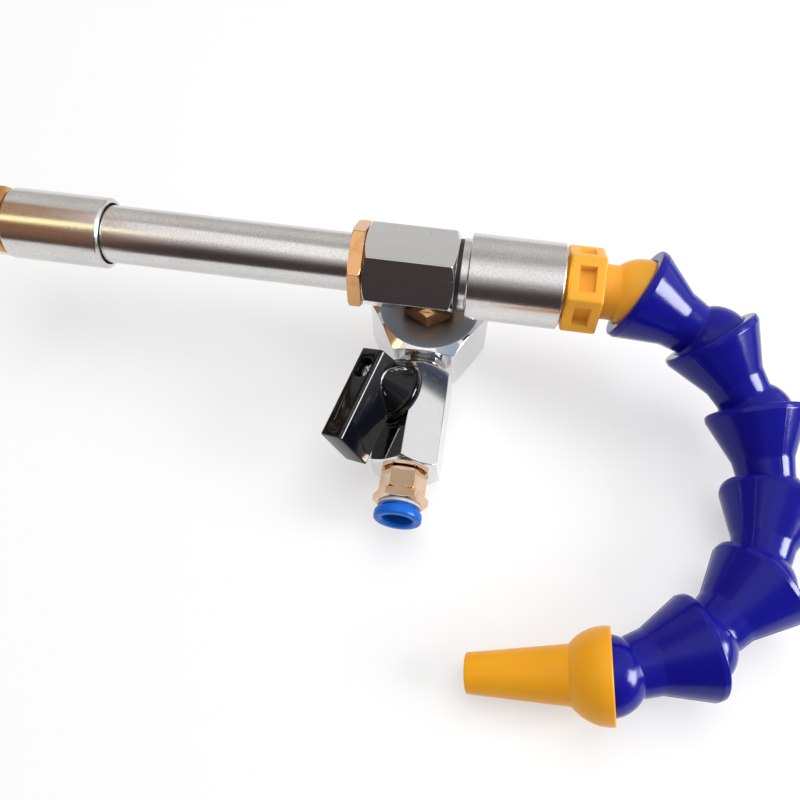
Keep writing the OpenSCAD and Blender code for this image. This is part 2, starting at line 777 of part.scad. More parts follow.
module release_collar() {
    flat_r = collar_r - collar_round;
    sleeve_z = ring_z + ring_t + collar_travel + stop_gap;
    mouth_z = collar_z0 + collar_t - web;
    color([0.04, 0.25, 0.85]) difference() {
        union() {
            on_valve(sleeve_z) cylinder(h = collar_z0 - sleeve_z + seam, r = collet_r);
            on_valve(collar_z0) rotate_extrude() {
                square([flat_r, collar_t]);
                translate([0, collar_round]) square([collar_r, collar_t - 2 * collar_round]);
                translate([flat_r, collar_round]) circle(r = collar_round);
                translate([flat_r, collar_t - collar_round]) circle(r = collar_round);
            }
        }
        on_valve(0) cylinder(h = 2 * cap_z1, r = line_r + line_slip);
        on_valve(mouth_z) cylinder(h = web + over, r1 = line_r, r2 = line_r + web + over);
    }
}

hot_plug();
hot_sleeve();
hot_tube();
tube_nut();
chamber_body();
vortex_generator();
joint_seal();
cold_sleeve();
hose_connector();
hose_link(0);  // hose_link_1
hose_link(1);  // hose_link_2
hose_link(2);  // hose_link_3
hose_link(3);  // hose_link_4
hose_link(4);  // hose_link_5
hose_link(5);  // hose_link_6
nozzle();
inlet_nipple();
elbow_block();
valve_body();
valve_insert();
seat_in();
seat_out();
valve_ball();
valve_stem();
stem_seal();
handle();
handle_screw();
push_in_body();
tube_seal();
grip_ring();
guide_ring();
release_collar();
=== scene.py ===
"""Looks of a vortex tube with its inlet valve and ball-and-socket hose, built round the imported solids."""

import json
import math

import bmesh
import bpy
import numpy as np
from bpy.props import FloatProperty, FloatVectorProperty, IntProperty, PointerProperty
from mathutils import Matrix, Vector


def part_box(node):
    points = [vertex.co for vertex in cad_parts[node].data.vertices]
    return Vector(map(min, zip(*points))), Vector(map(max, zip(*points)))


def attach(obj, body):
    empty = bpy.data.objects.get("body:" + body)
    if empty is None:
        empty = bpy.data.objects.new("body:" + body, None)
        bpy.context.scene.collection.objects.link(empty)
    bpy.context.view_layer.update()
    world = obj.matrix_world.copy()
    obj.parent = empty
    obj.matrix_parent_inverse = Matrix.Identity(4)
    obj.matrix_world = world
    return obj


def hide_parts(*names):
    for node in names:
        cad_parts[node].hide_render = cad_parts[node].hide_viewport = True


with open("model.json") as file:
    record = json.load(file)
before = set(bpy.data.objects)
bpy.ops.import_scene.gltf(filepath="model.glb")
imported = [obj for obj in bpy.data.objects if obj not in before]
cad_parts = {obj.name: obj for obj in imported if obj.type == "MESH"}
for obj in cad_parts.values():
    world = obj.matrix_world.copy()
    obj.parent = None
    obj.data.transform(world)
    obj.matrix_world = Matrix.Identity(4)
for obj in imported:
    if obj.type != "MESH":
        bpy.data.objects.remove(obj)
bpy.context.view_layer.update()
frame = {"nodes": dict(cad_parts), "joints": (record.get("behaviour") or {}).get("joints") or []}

bl_info = {
    "name": "Vortex tube looks",
    "version": (1, 0, 0),
    "blender": (4, 5, 0),
    "location": "3D View > Sidebar > Vortex tube",
    "description": "Turned, plated and moulded surfaces of a vortex tube and its jointed hose",
    "category": "Object",
}

MM, MICRON = 0.001, 0.000001
FINISHES = {}

# Gap between pieces that sit in each other, in millimetres
SEAT_GAP = 0.03
# Ball, socket, air way and neck that connector, links and nozzle share, in millimetres
BALL_R, SOCKET_R, MOUTH_R, HOSE_BORE, HOSE_NECK = 9.7, 9.76, 6.1, 5.5, 7.35
# Stations of a socket's lip and rim before the ball's middle, and the flat between them
LIP_Z, RIM_Z, LIP_LAND = -1.2, -1.8, 0.6
NECK_BACK = math.sqrt(BALL_R**2 - HOSE_NECK**2)
MOUTH_OUT = math.sqrt(BALL_R**2 - MOUTH_R**2)
LIP_R = math.sqrt(SOCKET_R**2 - LIP_Z**2)
LIP_TURN = math.acos(-LIP_Z / SOCKET_R)
# Roundings at the end of an air way, at a socket's lip and where a neck begins, in millimetres
MOUTH_EASE, LIP_EASE, NECK_EASE = 0.1, 0.12, 0.5
# Turn of each link's parting line, in degrees
SEAMS = (128, 62, 170, 36, 95, 82)

# What only mirrors see: name, radius in metres, turn in degrees, stops of height in degrees and colour,
# power, and the share of the radius along X where it ends
DARK = (0.055, 0.036, 0.036)
CARDS = (
    ("near_card", 0.2, (-141, -58), (
        (-3, DARK), (28, (0.07, 0.055, 0.055)), (46, (0.10, 0.08, 0.08, 0)),
    ), 1.0, 2.0),
    ("right_card", 0.2, (-66, 36), (
        (-3, (0.08, 0.17, 0.34)), (6, (0.10, 0.20, 0.38)), (12, (0.2, 0.3, 0.45, 0)),
    ), 1.0, 2.0),
    ("window_card", 1.1, (-21, 10), ((12, (0.95, 0.98, 1)), (37, (0.95, 0.98, 1))), 34.0, 2.0),
    ("gold_card", 1.1, (-159, -138), (
        (40, (1.0, 0.80, 0.40, 0)), (45, (1.0, 0.88, 0.46)), (59, (1.0, 0.88, 0.46)),
        (64, (1.0, 0.80, 0.40, 0)),
    ), 2.2, -0.455),
    ("warm_card", 1.15, (-218, -112), (
        (-2, (0.07, 0.034, 0.022)), (3, (0.105, 0.051, 0.033)), (14, (0.245, 0.127, 0.076)),
        (25, (0.306, 0.152, 0.084)), (36, (0.29, 0.122, 0.055)), (44, (0.46, 0.24, 0.10)),
        (52, (0.50, 0.28, 0.15)), (58, (0.47, 0.265, 0.17)), (66, (0.50, 0.42, 0.38)),
        (73, (0.5, 0.5, 0.5, 0)),
    ), 1.0, -0.455),
    ("sky_card", 1.2, (-68, -14), (
        (8, (0.06, 0.08, 0.10)), (38, (0.16, 0.20, 0.24)), (50, (0.32, 0.40, 0.48)), (62, (0.50, 0.60, 0.68)),
        (72, (0.8, 0.9, 1, 0)),
    ), 1.0, 2.0),
    ("front_card", 1.3, (-218, -30), (
        (-10, DARK), (14, DARK), (25, (0.10, 0.08, 0.08)), (35, (0.22, 0.20, 0.20)), (45, (0.42, 0.40, 0.40)),
        (52, (0.62, 0.60, 0.60)), (61, (1, 1, 1)), (80, (1, 1, 1)), (88, (0.8, 0.8, 0.8)),
    ), 1.25, 2.0),
    ("back_card", 1.4, (48, 146), (
        (0, (0.60, 0.59, 0.58)), (24, (0.70, 0.685, 0.67)), (36, (0.80, 0.775, 0.75)),
        (48, (0.74, 0.72, 0.70)), (60, (0.60, 0.58, 0.57)), (74, (0.58, 0.565, 0.55)), (86, (0.8, 0.8, 0.8)),
    ), 1.0, 2.0),
)


# Sizes and colours that a user would change


def size(name, description, millimetres):
    """A length in metres, with its default given in millimetres."""
    return FloatProperty(name=name, description=description, default=millimetres * MM, min=0, unit="LENGTH",
                         precision=5)


def share(name, description, default):
    """A plain number from nought to one."""
    return FloatProperty(name=name, description=description, default=default, min=0, max=1, subtype="FACTOR")


def colour(name, description, default):
    """A linear colour without alpha."""
    return FloatVectorProperty(name=name, description=description, default=default, size=3, min=0, max=1,
                               subtype="COLOR")


class MetalLooks(bpy.types.PropertyGroup):
    """Edges and colours of the turned and plated metal"""

    edge: size("Edge", "Easing of the turned edges", 0.16)
    hex_face: share("Turned face", "Share of the flats left on a turned end face", 0.96)
    hex_slope: FloatProperty(name="Hexagon bevel", description="Slope of a turned hexagon bevel",
                             default=math.radians(30), subtype="ANGLE")
    hex_power: FloatProperty(name="Corner sharpness", description="Power that joins a hexagon's six flats",
                             default=170, min=20, max=400)
    steel: colour("Satin steel", "Colour of tube, sleeve and cold cylinder", (0.66, 0.645, 0.63))
    plate: colour("Bright plate", "Colour of the plated bodies", (0.74, 0.74, 0.745))
    brass: colour("Brass", "Colour of plug, nut and nipple", (0.66, 0.365, 0.165))
    fitting: colour("Fitting", "Colour of the push-in fitting", (0.76, 0.54, 0.37))


class HoseLooks(bpy.types.PropertyGroup):
    """Form and colours of the moulded hose"""

    rim_round: size("Rim rounding", "Rounding of a bell's rim", 0.8)
    waist_ease: size("Waist easing", "Easing of the corner between bell and waist", 0.55)
    ridge: size("Parting ridge", "Height of the mould's parting line", 0.10)
    link: colour("Links", "Colour of the jointed links", (0.007, 0.006, 0.24))
    connector: colour("Connector", "Colour of the hose connector", (0.93, 0.415, 0.032))
    nozzle: colour("Nozzle", "Colour of the nozzle", (0.95, 0.395, 0.012))


class ValveLooks(bpy.types.PropertyGroup):
    """Edges and colours of the lever valve and the push-in fitting"""

    lever_edge: size("Lever edge", "Rounding of the lever's edges", 0.45)
    lever: colour("Lever", "Colour of the lever", (0.004, 0.004, 0.0045))
    collar: colour("Collar", "Colour of the release collar", (0.004, 0.13, 0.62))
    guide: colour("Guide ring", "Colour of the pale guide ring", (0.55, 0.57, 0.60))


class StageLooks(bpy.types.PropertyGroup):
    """Camera, lamps and floor"""

    camera_at: FloatVectorProperty(name="Camera", description="Place of the camera",
                                   default=(0.014, -0.139, 0.2176), size=3, subtype="TRANSLATION",
                                   unit="LENGTH")
    pitch: FloatProperty(name="Pitch", description="Camera's dip below level", default=math.radians(61.54),
                         subtype="ANGLE")
    yaw: FloatProperty(name="Yaw", description="Camera's turn to the left", default=math.radians(4.54),
                       subtype="ANGLE")
    roll: FloatProperty(name="Roll", description="Camera's lean", default=math.radians(7.43), subtype="ANGLE")
    lens: FloatProperty(name="Lens", description="Focal length in millimetres", default=37.35)
    window: FloatProperty(name="Window", description="Power of the window lamp", default=3.6, unit="POWER")
    fill: FloatProperty(name="Fill", description="Power of the fill lamp", default=5.7, unit="POWER")
    ambient: FloatProperty(name="Ambient", description="Even light from all round", default=0.36)
    floor_radius: size("Floor radius", "Radius of the floor", 420)
    rings: IntProperty(name="Floor rings", description="Rings of the floor's mesh", default=10, min=4)


# Numbers and surfaces


def extent(node):
    """Lowest and highest corner of a solid, in millimetres."""
    low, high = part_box(node)
    return np.array(low) / MM, np.array(high) / MM


def unit(vector):
    """The vector divided by its length."""
    vector = np.array(vector, float)
    return vector / np.linalg.norm(vector)


class Place:
    """A turning axis: its origin, its direction, and the two square directions that angles are counted in."""

    def __init__(self, origin, along, up):
        self.origin = np.array(origin, float)
        self.along = unit(along)
        up = np.array(up, float)
        self.up = unit(up - self.along * (up @ self.along))
        self.side = np.cross(self.along, self.up)

    def turned(self, radius, station, angle):
        """Point = origin + station along the axis + radius out in the direction of the angle."""
        radius, station, angle = np.broadcast_arrays(radius, station, angle)
        ray = np.cos(angle)[..., None] * self.up + np.sin(angle)[..., None] * self.side
        return self.origin + station[..., None] * self.along + radius[..., None] * ray


def eased(corners, cuts, steps=5, loop=True):
    """Profile rows through corners, each corner replaced by a quadratic curve.

    The curve starts and ends at the cut's distance before and after the corner, with the corner as its
    handle. One more row on either side, twice as far out, keeps the shading of the long faces flat. A corner
    is an array of shape (columns, 2) of radius and station, so every column may have its own profile.
    """
    most_cut, most_row = 0.4, 0.49
    count = len(corners)
    t = np.linspace(0, 1, steps)[:, None, None]
    rows = []
    for i, cut in enumerate(cuts):
        here = corners[i]
        if cut == 0 or (not loop and i in (0, count - 1)):
            rows.append(here[None])
            continue
        back, on = corners[i - 1] - here, corners[(i + 1) % count] - here
        back_len = np.linalg.norm(back, axis=-1, keepdims=True)
        on_len = np.linalg.norm(on, axis=-1, keepdims=True)
        start = here + back / back_len * np.minimum(cut, most_cut * back_len)
        end = here + on / on_len * np.minimum(cut, most_cut * on_len)
        curve = (1 - t) ** 2 * start + 2 * t * (1 - t) * here + t**2 * end
        before = here + back / back_len * np.minimum(2 * cut, most_row * back_len)
        after = here + on / on_len * np.minimum(2 * cut, most_row * on_len)
        rows.append(np.concatenate([before[None], curve, after[None]]))
    return np.concatenate(rows)


def profile(points, columns):
    """Corners and cuts from rows of (radius, station, cut), where radius and station may differ by column."""
    corners = [np.stack(np.broadcast_arrays(np.full(columns, 1.0) * r, np.full(columns, 1.0) * z), -1)
               for r, z, _ in points]
    return corners, [cut for _, _, cut in points]


def arc(radius, centre, start, end, count, first=True, last=True):
    """Rows of a circle: radius times sine out from the axis, centre minus radius times cosine along it."""
    turn = np.linspace(start, end, count)
    turn = turn[0 if first else 1 : count if last else count - 1]
    return [(radius * math.sin(a), centre - radius * math.cos(a), 0) for a in turn]


def round_columns(count=144):
    """Even angles round the axis."""
    return np.arange(count) * 2 * math.pi / count


def hex_columns(first_flat, per_half=9, crowding=2.6):
    """Angles round a hexagon that crowd towards its corners: 30 degrees times 1 - (1 - u) to a power."""
    u = np.linspace(0, 1, per_half + 1)
    half = math.radians(30) * (1 - (1 - u) ** crowding)
    flat = np.concatenate([-half[:0:-1], half[:-1]])
    return (math.radians(first_flat) + np.arange(6)[:, None] * math.pi / 3 + flat[None]).ravel()


def hex_radius(angle, first_flat, across, power):
    """Distance to a hexagon's wall: half the flats over the power mean of the six cosines to the flats."""
    flats = math.radians(first_flat) + np.arange(6) * math.pi / 3
    lean = np.clip(np.cos(angle[:, None] - flats), 1e-9, None)
    return across / 2 / (lean**power).sum(axis=1) ** (1 / power)


def hexagon(first_flat, across, looks):
    """Angles round a hexagon, and the distance to its wall at each of them."""
    angle = hex_columns(first_flat)
    return angle, hex_radius(angle, first_flat, across, looks.hex_power)


def hex_bar(wall, across, start, end, looks, face=None):
    """Corner rows of a hexagon with a turned cone on both ends, from face to face."""
    least_cone = 0.02
    face_r = np.minimum((face or looks.hex_face) * across / 2, wall - least_cone)
    rise = (wall - face_r) * math.tan(looks.hex_slope)
    ease = looks.edge / MM
    face_ease = 0.6 * ease
    return [(face_r, start, face_ease), (wall, start + rise, ease), (wall, end - rise, ease),
            (face_r, end, face_ease)]


def ball_rows(centre, count):
    """Rows of a hose ball from the end of its neck to its flat mouth."""
    mouth = math.pi - math.asin(MOUTH_R / BALL_R)
    return arc(BALL_R, centre, math.asin(HOSE_NECK / BALL_R), mouth, count, first=False)


def from_seam(angle, seam):
    """Turn between each angle and the nearer of two parting lines that lie half a turn apart."""
    return np.abs((angle - seam + math.pi / 2) % math.pi - math.pi / 2)


# Meshes


def put_mesh(name, grid, finish, body, slot, *nodes, loop=True):
    """One closed skin from a grid of points in millimetres that closes round its columns.

    Its rows close too, or its first and last row are poles on the axis. Faces are turned so that the volume,
    the sum of each triangle's triple product over six, is positive.
    """
    rows, columns = grid.shape[:2]
    i = np.arange(rows if loop else rows - 1)[:, None]
    j = np.arange(columns)[None]
    here, on = i * columns, (i + 1) % rows * columns
    beside = (j + 1) % columns
    faces = np.stack(np.broadcast_arrays(here + j, here + beside, on + beside, on + j), -1).reshape(-1, 4)
    points = grid.reshape(-1, 3) * MM
    a, b, c, d = (points[faces[:, k]] for k in range(4))
    volume = np.einsum("ij,ij->", a, np.cross(b, c)) + np.einsum("ij,ij->", a, np.cross(c, d))
    if volume < 0:
        faces = faces[:, ::-1]
    mesh = bpy.data.meshes.new(name)
    mesh.from_pydata(points.tolist(), [], faces.tolist())
    if not loop:
        close_poles(mesh)
    mesh.polygons.foreach_set("use_smooth", np.ones(len(mesh.polygons), bool))
    mesh.update()
    return put_object(name, mesh, finish, body, slot, *nodes)


def close_poles(mesh):
    """Merges the points of a row that lies on the axis into one."""
    same_point = 0.1 * MICRON
    work = bmesh.new()
    work.from_mesh(mesh)
    bmesh.ops.remove_doubles(work, verts=work.verts, dist=same_point)
    work.to_mesh(mesh)
    work.free()


def put_object(name, mesh, finish, body, slot, *nodes):
    """A piece with its finish that moves with a body and stands for the solids named."""
    piece = bpy.data.objects.new(name, mesh)
    bpy.context.scene.collection.objects.link(piece)
    mesh.materials.clear()
    mesh.materials.append(FINISHES[finish])
    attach(piece, body)
    if nodes:
        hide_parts(*nodes)
    return piece


def turned_piece(name, place, points, angle, finish, body, slot, *nodes, loop=True):
    """A profile carried round its axis."""
    rows = eased(*profile(points, len(angle)), loop=loop)
    grid = place.turned(rows[..., 0], rows[..., 1], angle[None])
    return put_mesh(name, grid, finish, body, slot, *nodes, loop=loop)


def dress(finish, *nodes):
    """Gives solids that stay in view their finish."""
    for node in nodes:
        materials = frame["nodes"][node].data.materials
        materials.clear()
        materials.append(FINISHES[finish])


# Where the axes are


def tube_place():
    """The tube's axis from the middle of the unit towards the cold end."""
    low, high = extent("hot_tube")
    return Place((0, 0, (low[2] + high[2]) / 2), (1, 0, 0), (0, 0, 1))


def valve_place():
    """The valve's axis from the block's front face outwards."""
    front = extent("elbow_block")[0][1]
    low, high = extent("release_collar")
    return Place((0, front, (low[2] + high[2]) / 2), (0, -1, 0), (0, 0, 1))


def along_valve(node, valve):
    """First and last station of a solid along the valve's axis."""
    low, high = extent(node)
    return valve.origin[1] - high[1], valve.origin[1] - low[1]


def hose_places():
    """The axes of the links and the nozzle: each from its joint towards the next, the last to its tip."""
    bends = ["hose_bend_%d" % i for i in range(1, 7)] + ["nozzle_bend"]
    spots = [np.array(joint["pos_m"]) / MM for joint in frame["joints"] if joint["name"] in bends]
    mesh = frame["nodes"]["nozzle"].data
    points = np.empty(len(mesh.vertices) * 3)
    mesh.vertices.foreach_get("co", points)
    points = points.reshape(-1, 3) / MM
    reach = np.linalg.norm(points - spots[-1], axis=1)
    tip_band = 0.02
    spots.append(points[reach > reach.max() - tip_band].mean(axis=0))
    return [Place(here, onward - here, (0, 0, 1)) for here, onward in zip(spots, spots[1:])]


# Shader expressions


class Wire:
    """A shader value in an expression: each operator adds the Math node that it names."""

    def __init__(self, sheet, socket):
        self.sheet, self.socket = sheet, socket

    def maths(self, operation, a, b=0.0):
        return self.sheet.add("ShaderNodeMath", {"operation": operation}, {0: a, 1: b})

    def other(self, name):
        """Another output of the node that this value comes from."""
        return Wire(self.sheet, self.socket.node.outputs[name])

    def __abs__(self):
        return self.maths("ABSOLUTE", self)

    def __add__(self, other):
        return self.maths("ADD", self, other)

    def __radd__(self, other):
        return self.maths("ADD", other, self)

    def __sub__(self, other):
        return self.maths("SUBTRACT", self, other)

    def __rsub__(self, other):
        return self.maths("SUBTRACT", other, self)

    def __mul__(self, other):
        return self.maths("MULTIPLY", self, other)

    def __rmul__(self, other):
        return self.maths("MULTIPLY", other, self)

    def __truediv__(self, other):
        return self.maths("DIVIDE", self, other)

    def __rtruediv__(self, other):
        return self.maths("DIVIDE", other, self)


class Sheet:
    """A node tree that is written by expressions."""

    def __init__(self, tree):
        self.tree = tree

    def add(self, kind, settings=None, inputs=None, out=0):
        """Makes a node, sets it up, fills its sockets with values or links, and gives one of its outputs."""
        node = self.tree.nodes.new(kind)
        for key, value in (settings or {}).items():
            if key == "stops":
                ramp = node.color_ramp
                ramp.elements[0].position, ramp.elements[1].position = value[0][0], value[-1][0]
                for place, _ in value[1:-1]:
                    ramp.elements.new(place)
                for element, (_, shade) in zip(ramp.elements, value):
                    element.color = (*shade, 1)[:4]
            else:
                setattr(node, key, value)
        for key, value in (inputs or {}).items():
            self.join(value, node.inputs[key])
        return Wire(self, node.outputs[out])

    def join(self, value, socket):
        """Links a wire to a socket, or sets the socket's own value."""
        if isinstance(value, Wire):
            self.tree.links.new(value.socket, socket)
        else:
            socket.default_value = value

    def spot(self, scale=(1, 1, 1), turn=(0, 0, 0)):
        """Object coordinates, turned and stretched."""
        place = self.add("ShaderNodeTexCoord", out="Object")
        return self.add("ShaderNodeMapping", {}, {"Vector": place, "Rotation": turn, "Scale": scale})

    def noise(self, where, scale, detail, roughness):
        """Cloudy value from nought to one."""
        return self.add("ShaderNodeTexNoise", {}, {"Vector": where, "Scale": scale, "Detail": detail,
                                                   "Roughness": roughness})

    def step(self, value, low, high, start=0.0, end=1.0):
        """Smooth rise from start to end while the value goes from low to high."""
        return self.add("ShaderNodeMapRange", {"interpolation_type": "SMOOTHSTEP"},
                        {"Value": value, "From Min": low, "From Max": high, "To Min": start, "To Max": end})

    def blend(self, factor, a, b):
        """Colour a where the factor is nought, colour b where it is one."""
        a, b = (shade if isinstance(shade, Wire) else (*shade, 1) for shade in (a, b))
        return self.add("ShaderNodeMix", {"data_type": "RGBA"}, {"Factor": factor, 6: a, 7: b}, out=2)

    def bump(self, height, distance):
        """Surface normal of a height from nought to one that stands for a distance in metres."""
        return self.add("ShaderNodeBump", {}, {"Distance": distance, "Height": height}, out="Normal")

    def seen_plainly(self):
        """One for what the eye, mirrors and glass see, nought for light on other surfaces."""
        ray = self.add("ShaderNodeLightPath", out="Is Camera Ray")
        return ray + ray.other("Is Glossy Ray") + ray.other("Is Transmission Ray")


def finish(name, constants, write, shade, *values):
    """A material: constants go on the shader's own sockets, and what write returns is linked to them."""
    material = bpy.data.materials.new(name)
    material.use_nodes = True
    shader = material.node_tree.nodes["Principled BSDF"]
    for key, value in constants.items():
        shader.inputs[key].default_value = value
    sheet = Sheet(material.node_tree)
    for key, value in write(sheet, tuple(shade), *values).items():
        sheet.join(value, shader.inputs[key])
    FINISHES[name] = material


def tinted(shade, times):
    """A colour made lighter or darker."""
    return tuple(min(1.0, part * times) for part in shade)


def satin_steel(sheet, shade):
    """Turned steel: fine lines round the tube's axis, speckled grain and faint handling marks."""
    lines = sheet.noise(sheet.spot((900, 14, 14)), 4.0, 3.0, 0.6)
    grain = sheet.noise(sheet.spot(), 3300.0, 2.0, 0.6)
    cloud = sheet.noise(sheet.spot((1, 1.6, 1.6)), 55.0, 3.0, 0.55)
    marks = sheet.step(sheet.noise(sheet.spot((1, 3, 3), (0.3, 0.2, 0.5)), 420.0, 4.0, 0.7), 0.62, 0.72)
    worn = sheet.blend(cloud, tinted(shade, 0.92), tinted(shade, 1.16))
    speck = sheet.step(sheet.noise(sheet.spot(), 2600.0, 2.0, 0.7), 0.44, 0.62)
    return {
        "Base Color": sheet.blend(marks * 0.35 + speck * 0.32, worn, tinted(shade, 0.58)),
        "Roughness": 0.10 + grain * 0.08 + lines * 0.05 + cloud * 0.04,
        "Normal": sheet.bump(grain * 0.85 + lines * 0.15, 14 * MICRON),
    }


def bright_plate(sheet, shade):
    """Polished plate: mirror with faint smears, hair scratches and small pits."""
    smear = sheet.noise(sheet.spot((1, 2, 1), (0.4, 0.1, 0.7)), 85.0, 3.0, 0.6)
    hair = sheet.noise(sheet.spot((9, 240, 240), (0.1, 0.35, 0.2)), 7.0, 2.0, 0.5)
    scratch = sheet.step(hair, 0.68, 0.74)
    pits = sheet.step(sheet.noise(sheet.spot(), 1900.0, 1.0, 0.5), 0.72, 0.78)
    wave = sheet.noise(sheet.spot(), 130.0, 1.0, 0.4)
    return {
        "Base Color": sheet.blend(pits, sheet.blend(smear, tinted(shade, 0.93), tinted(shade, 1.04)),
                                  tinted(shade, 0.55)),
        "Roughness": 0.055 + smear * 0.06 + scratch * 0.16 + pits * 0.2,
        "Normal": sheet.bump(wave * 0.75 + scratch * 0.2, 18 * MICRON),
    }


def faced_plate_painted_reflection(sheet, shade, top):
    """Polished plate whose upper face is left as turned: duller, with rings round its middle, and a painted
    dark bluish reflection on it.
    """
    looks = bright_plate(sheet, shade)
    place = sheet.add("ShaderNodeSeparateXYZ", {}, {0: sheet.spot()}, out="Z")
    faced = sheet.step(place, top - 0.07 * MM, top - 0.03 * MM)
    flat = sheet.spot((1, 1, 0))
    radius = sheet.add("ShaderNodeVectorMath", {"operation": "LENGTH"}, {0: flat}, out="Value")
    rings = sheet.add("ShaderNodeTexNoise", {"noise_dimensions": "1D"}, {"W": radius, "Scale": 5200.0})
    grain = sheet.noise(sheet.spot(), 3600.0, 2.0, 0.6)
    # The upper face's dark bluish grey is a painted reflection; the rings and grain only vary it.
    grey = sheet.blend(rings * 0.5 + grain * 0.5, (0.24, 0.265, 0.30), (0.52, 0.56, 0.62))
    looks["Base Color"] = sheet.blend(faced, looks["Base Color"], grey)
    looks["Roughness"] = looks["Roughness"] + faced * (0.34 + grain * 0.14)
    return looks


def turned_brass(sheet, shade):
    """Machined brass: lathe lines, darker tarnish in clouds and a brighter rubbed tone."""
    lines = sheet.noise(sheet.spot((700, 30, 30)), 4.0, 2.0, 0.6)
    cloud = sheet.noise(sheet.spot(), 210.0, 4.0, 0.6)
    tarnish = sheet.step(cloud, 0.48, 0.72)
    grain = sheet.noise(sheet.spot(), 4200.0, 2.0, 0.5)
    return {
        "Base Color": sheet.blend(tarnish * 0.6, shade, (shade[0] * 0.78, shade[1] * 0.66, shade[2] * 0.55)),
        "Roughness": 0.10 + tarnish * 0.12 + grain * 0.06,
        "Normal": sheet.bump(lines * 0.5 + grain * 0.5, 6 * MICRON),
    }


def moulded(sheet, shade, depth, rough):
    """Glossy moulded plastic: fine sandy skin, flow clouds and dull scuffs."""
    sand = sheet.noise(sheet.spot(), 2300.0, 3.0, 0.6)
    flow = sheet.noise(sheet.spot((1, 1, 2)), 60.0, 2.0, 0.5)
    orange_peel = sheet.noise(sheet.spot(), 520.0, 2.0, 0.5)
    scuff = sheet.step(sheet.noise(sheet.spot((1, 5, 2), (0.5, 0.3, 0.2)), 300.0, 4.0, 0.7), 0.63, 0.75)
    body = sheet.blend(flow, tinted(shade, 0.88), tinted(shade, 1.12))
    pale = tuple(part + 0.012 for part in tinted(shade, 1.1))
    return {
        "Base Color": sheet.blend(scuff * 0.25, body, pale),
        "Roughness": rough + sand * 0.10 + scuff * 0.18,
        "Normal": sheet.bump(sand * 0.35 + orange_peel * 0.65, depth),
    }


def dull(sheet, shade, rough):
    """Rubber or cast nylon: matt, with a fine grain and dusty patches."""
    grain = sheet.noise(sheet.spot(), 3000.0, 3.0, 0.6)
    dust = sheet.step(sheet.noise(sheet.spot(), 320.0, 3.0, 0.6), 0.55, 0.75)
    return {
        "Base Color": sheet.blend(dust * 0.4, shade, tuple(0.85 * part + 0.03 for part in shade)),
        "Roughness": rough + grain * 0.15,
        "Normal": sheet.bump(grain, 10 * MICRON),
    }


def make_finishes(context):
    """All materials of the unit, from the panel's colours."""
    metal, hose, valve = context.scene.vortex_metal, context.scene.vortex_hose, context.scene.vortex_valve
    bare, gloss = {"Metallic": 1.0}, {"Specular IOR Level": 0.2, "IOR": 1.5}
    shiny, matt = {"Specular IOR Level": 0.35, "IOR": 1.5}, {}
    block_top = extent("elbow_block")[1][2] * MM
    for row in (
        ("satin_steel", bare, satin_steel, metal.steel),
        ("bright_plate", bare, bright_plate, metal.plate),
        ("block_plate", bare, faced_plate_painted_reflection, metal.plate, block_top),
        ("turned_brass", bare, turned_brass, metal.brass),
        ("fitting_brass", bare, turned_brass, metal.fitting),
        ("link_plastic", gloss, moulded, hose.link, 40 * MICRON, 0.10),
        ("connector_plastic", gloss, moulded, hose.connector, 30 * MICRON, 0.30),
        ("nozzle_plastic", gloss, moulded, hose.nozzle, 30 * MICRON, 0.26),
        ("lever_plastic", shiny, moulded, valve.lever, 4 * MICRON, 0.05),
        ("collar_plastic", gloss, moulded, valve.collar, 20 * MICRON, 0.20),
        ("guide_plastic", gloss, moulded, valve.guide, 10 * MICRON, 0.28),
        ("seal_rubber", matt, dull, (0.012, 0.012, 0.012), 0.45),
        ("seat_nylon", matt, dull, (0.80, 0.79, 0.76), 0.35),
    ):
        finish(*row)


# Pieces


class VORTEX_OT_hot_end(bpy.types.Operator):
    """Hot tube, sleeve and vent plug"""

    bl_idname = "vortex.hot_end"
    bl_label = "Hot end"

    def execute(self, context):
        looks = context.scene.vortex_metal
        axis, edge = tube_place(), looks.edge / MM
        angle = round_columns()

        low, high = extent("hot_tube")
        outer, wall = (high[1] - low[1]) / 2, 1.4
        turned_piece("tube_skin", axis, [
            (outer - wall, low[0], 0), (outer, low[0], edge), (outer, high[0], edge),
            (outer - wall, high[0], 0),
        ], angle, "satin_steel", "unit", "satin_steel", "hot_tube")

        low, high = extent("hot_sleeve")
        r, bevel, seat = (high[1] - low[1]) / 2, 0.6, outer + SEAT_GAP
        plug_r, step, recess_r, recess = outer - 0.94, low[0] + 10.5, outer + 0.5, high[0] - 5
        turned_piece("sleeve_skin", axis, [
            (plug_r, low[0], edge), (r - bevel, low[0], edge), (r, low[0] + bevel, edge),
            (r, high[0] - bevel, edge), (r - bevel, high[0], edge), (recess_r, high[0], edge),
            (recess_r, recess, 0), (seat, recess, 0), (seat, step, 0), (plug_r, step, 0),
        ], angle, "satin_steel", "unit", "satin_steel", "hot_sleeve")

        low, high = extent("hot_plug")
        across, hex_end = 18, low[0] + 7
        thread_end = hex_end + 9.4
        neck_end = thread_end + 4
        vent_r, vent_end, vent_ease = 2.5, neck_end - 0.6, 0.3
        thread_r, neck_r, cone_r, tip_r = 7, 4.1, 5.1, 1.2
        angle, wall = hexagon(0, across, looks)
        turned_piece("plug_skin", axis, [
            (0, vent_end, 0), (vent_r, vent_end, 0), (vent_r, low[0], vent_ease),
            *hex_bar(wall, across, low[0], hex_end, looks),
            (thread_r, hex_end, 0), (thread_r, thread_end, edge), (neck_r, thread_end, 0),
            (neck_r, neck_end, 0), (cone_r, neck_end, edge), (tip_r, high[0], edge), (0, high[0], 0),
        ], angle, "turned_brass", "hot_plug", "turned_brass", "hot_plug", loop=False)
        return {"FINISHED"}


